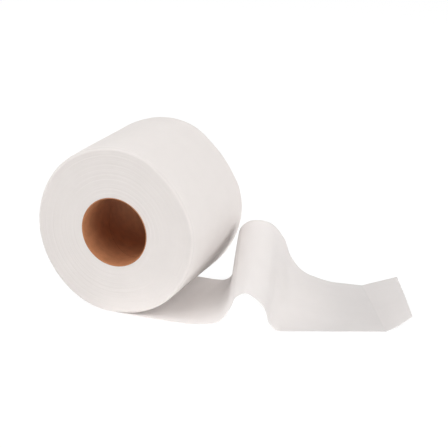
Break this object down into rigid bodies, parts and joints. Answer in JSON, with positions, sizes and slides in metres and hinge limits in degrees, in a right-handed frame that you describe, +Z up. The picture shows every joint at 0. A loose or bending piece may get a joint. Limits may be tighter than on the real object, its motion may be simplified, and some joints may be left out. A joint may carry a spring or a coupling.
{
  "type": "toilet paper roll",
  "caption": "Soft roll of toilet paper on a cardboard core, lying on its side, its loose end run out over a hump to a lifted, torn flap.",
  "frame": {"origin": "middle of the core's bore, half way along the roll", "axes": "+Y along the roll's axis, from the end face the picture shows to the other one; +X level, the way the loose end leaves the roll; +Z up from the surface it lies on"},
  "size_m": [0.2525, 0.1242, 0.1156],
  "materials": {
    "core_board": "matt brown recycled board, spiral wound",
    "tissue_paper": "matt soft white creped tissue"
  },
  "bodies": {
    "root": {"core": "core_board", "tissue": "tissue_paper"}
  },
  "joints": []
}
